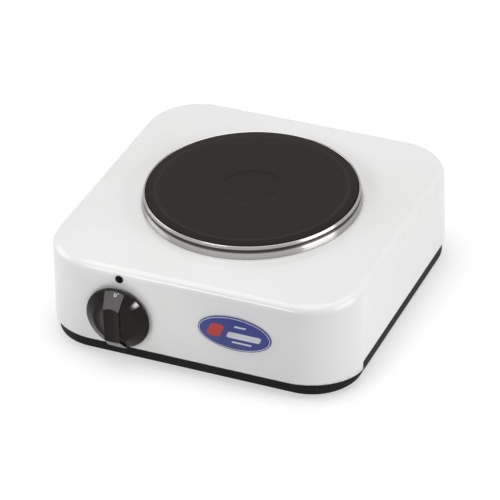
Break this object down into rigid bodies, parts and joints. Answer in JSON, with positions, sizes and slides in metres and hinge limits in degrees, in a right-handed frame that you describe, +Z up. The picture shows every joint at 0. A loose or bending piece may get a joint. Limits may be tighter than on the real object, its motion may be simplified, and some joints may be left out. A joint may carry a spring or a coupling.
{
  "type": "hot plate",
  "caption": "Single electric hot plate: round cast-iron cooking plate in a bright spill ring on a rounded square enamelled housing, black base, front control knob.",
  "frame": {"origin": "middle of the whole footprint, knob and cord inlet included, on the plane that the rubber feet rest on", "axes": "+Z up through the cooking plate, +X to the user's right, +Y from the front with the knob towards the back"},
  "size_m": [0.2398, 0.2566, 0.0882],
  "materials": {
    "white_enamel": "gloss white vitreous enamel on sheet steel",
    "black_moulding": "black heat-resistant moulding, satin",
    "rubber": "matt black",
    "zinc_steel": "bright zinc-plated",
    "cast_iron": "matt black protective coating",
    "bright_steel": "polished stainless",
    "coil_sheath": "heat-darkened sheath",
    "mica": "pressed insulation board",
    "porcelain": "unglazed porcelain",
    "phenolic": "dark phenolic moulding",
    "knob_black": "high-gloss black",
    "brass": "plain",
    "smoked_lens": "smoked, unlit",
    "lamp_glass": "neon lamp glass",
    "lead_brown": "heat-proof sleeving",
    "lead_blue": "heat-proof sleeving",
    "lead_green": "heat-proof sleeving",
    "badge_blue": "printed and domed"
  },
  "bodies": {
    "appliance": {"housing_shell": "white_enamel", "base_tray": "black_moulding", "foot_front_left": "rubber", "base_screw_front_left": "zinc_steel", "shell_bracket_front_left": "zinc_steel", "foot_front_right": "rubber", "base_screw_front_right": "zinc_steel", "shell_bracket_front_right": "zinc_steel", "foot_rear_left": "rubber", "base_screw_rear_left": "zinc_steel", "shell_bracket_rear_left": "zinc_steel", "foot_rear_right": "rubber", "base_screw_rear_right": "zinc_steel", "shell_bracket_rear_right": "zinc_steel", "cooking_plate": "cast_iron", "spill_ring": "bright_steel", "heating_coil": "coil_sheath", "insulation_disc": "mica", "plate_cover": "zinc_steel", "plate_stud": "zinc_steel", "clamping_bridge": "zinc_steel", "stud_washer": "zinc_steel", "stud_nut": "zinc_steel", "plate_terminal_block": "porcelain", "heat_shield": "zinc_steel", "shield_screw_1": "zinc_steel", "shield_screw_2": "zinc_steel", "shield_screw_3": "zinc_steel", "thermostat_housing": "phenolic", "thermostat_screw_left": "zinc_steel", "thermostat_screw_right": "zinc_steel", "moving_contact": "brass", "fixed_contact": "brass", "pilot_lens": "smoked_lens", "pilot_lamp_body": "lamp_glass", "mains_terminal_block": "porcelain", "block_screw_left": "zinc_steel", "block_screw_right": "zinc_steel", "cord_inlet_grommet": "rubber", "earth_screw": "brass", "live_lead": "lead_brown", "switched_lead": "lead_brown", "neutral_lead": "lead_blue", "earth_lead": "lead_green", "lamp_lead_left": "lead_brown", "lamp_lead_right": "lead_blue", "front_badge": "badge_blue"},
    "knob": {"control_knob": "knob_black", "control_shaft": "zinc_steel", "control_cam": "phenolic", "knob_spring_clip": "zinc_steel"}
  },
  "joints": [
    {"name": "knob_turn", "type": "hinge", "parent": "appliance", "child": "knob", "pos_m": [-0.0516, -0.1142, 0.0406], "axis": [0, 1, 0], "range_deg": [0, 270]}
  ]
}
